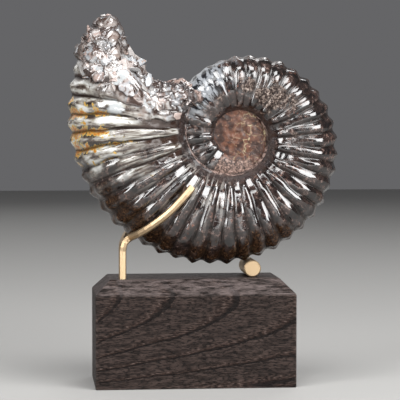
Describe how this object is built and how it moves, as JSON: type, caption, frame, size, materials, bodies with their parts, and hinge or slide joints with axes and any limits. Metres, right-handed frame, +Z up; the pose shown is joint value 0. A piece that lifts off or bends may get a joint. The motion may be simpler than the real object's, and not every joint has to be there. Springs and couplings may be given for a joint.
{
  "type": "ammonite fossil on stand",
  "caption": "Polished ribbed ammonite fossil with a broken crystal-filled mouth, held upright on a black wood block by a forked brass rod and a brass peg.",
  "frame": {"origin": "middle of the flat underside of the wood block", "axes": "+Z up; -Y is the front, the side that the picture shows; +X is to the right seen from the front"},
  "size_m": [0.174, 0.0749, 0.2362],
  "materials": {
    "fossil_shell": "polished, glossy",
    "black_wood": "blackened, open-pored, satin",
    "satin_brass": "satin"
  },
  "bodies": {
    "root": {"ammonite": "fossil_shell", "wood_block": "black_wood", "brass_front_rod": "satin_brass", "brass_back_arm": "satin_brass", "brass_peg": "satin_brass"}
  },
  "joints": []
}
